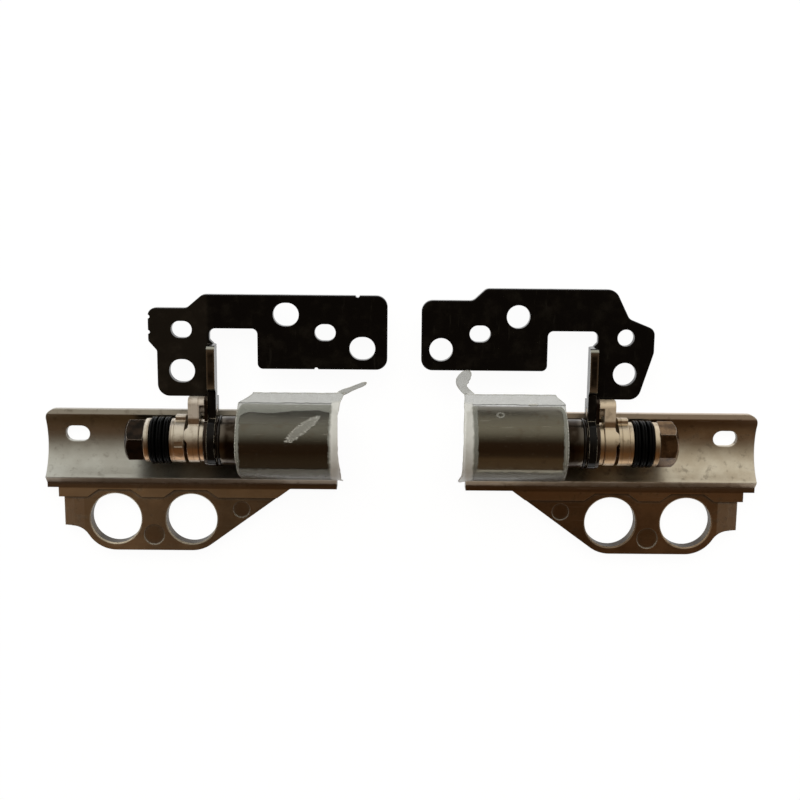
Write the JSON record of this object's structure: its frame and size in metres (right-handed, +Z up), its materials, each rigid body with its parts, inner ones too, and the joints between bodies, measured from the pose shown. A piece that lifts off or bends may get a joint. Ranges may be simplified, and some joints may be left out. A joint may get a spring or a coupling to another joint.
{
  "type": "laptop hinge pair",
  "caption": "Pair of friction hinges: cast base with barrel and open trough, keyed shaft with a pack of washers, cams and disc springs, and a bent sheet arm with a lid plate.",
  "frame": {"origin": "on the seat of the bases, under the middle of the pair's outline", "axes": "+X along the shafts from the left hinge to the right one, +Y towards the display plates, +Z up from the seat"},
  "size_m": [0.0906, 0.0344, 0.0094],
  "materials": {
    "nickel_casting": "satin",
    "bright_steel": "satin",
    "nickel_washer": "bright",
    "nickel_cam": "bright",
    "dark_spring_steel": "oily",
    "black_sheet": "gloss",
    "black_nut": "satin",
    "clear_film": "clear"
  },
  "bodies": {
    "bases": {"left_base_bracket": "nickel_casting", "left_shaft": "bright_steel", "left_inner_friction_washer": "nickel_washer", "left_outer_friction_washer": "nickel_washer", "left_spring_seat_washer": "nickel_washer", "left_end_washer": "nickel_washer", "left_fixed_cam": "nickel_cam", "left_disc_spring_1": "dark_spring_steel", "left_disc_spring_2": "dark_spring_steel", "left_disc_spring_3": "dark_spring_steel", "left_disc_spring_4": "dark_spring_steel", "left_disc_spring_5": "dark_spring_steel", "left_disc_spring_6": "dark_spring_steel", "left_lock_nut": "black_nut", "left_protective_film": "clear_film", "right_base_bracket": "nickel_casting", "right_shaft": "bright_steel", "right_inner_friction_washer": "nickel_washer", "right_outer_friction_washer": "nickel_washer", "right_spring_seat_washer": "nickel_washer", "right_end_washer": "nickel_washer", "right_fixed_cam": "nickel_cam", "right_disc_spring_1": "dark_spring_steel", "right_disc_spring_2": "dark_spring_steel", "right_disc_spring_3": "dark_spring_steel", "right_disc_spring_4": "dark_spring_steel", "right_disc_spring_5": "dark_spring_steel", "right_disc_spring_6": "dark_spring_steel", "right_lock_nut": "black_nut", "right_protective_film": "clear_film"},
    "left_display_arm": {"left_display_bracket": "black_sheet", "left_keyed_friction_plate": "dark_spring_steel", "left_moving_cam": "nickel_cam"},
    "right_display_arm": {"right_display_bracket": "black_sheet", "right_keyed_friction_plate": "dark_spring_steel", "right_moving_cam": "nickel_cam"}
  },
  "joints": [
    {"name": "left_hinge", "type": "hinge", "parent": "bases", "child": "left_display_arm", "pos_m": [-0.02347, -0.002, 0.0047], "axis": [1, 0, 0], "range_deg": [0, 180]},
    {"name": "right_hinge", "type": "hinge", "parent": "bases", "child": "right_display_arm", "pos_m": [0.02347, -0.002, 0.0047], "axis": [1, 0, 0], "range_deg": [0, 180]}
  ]
}
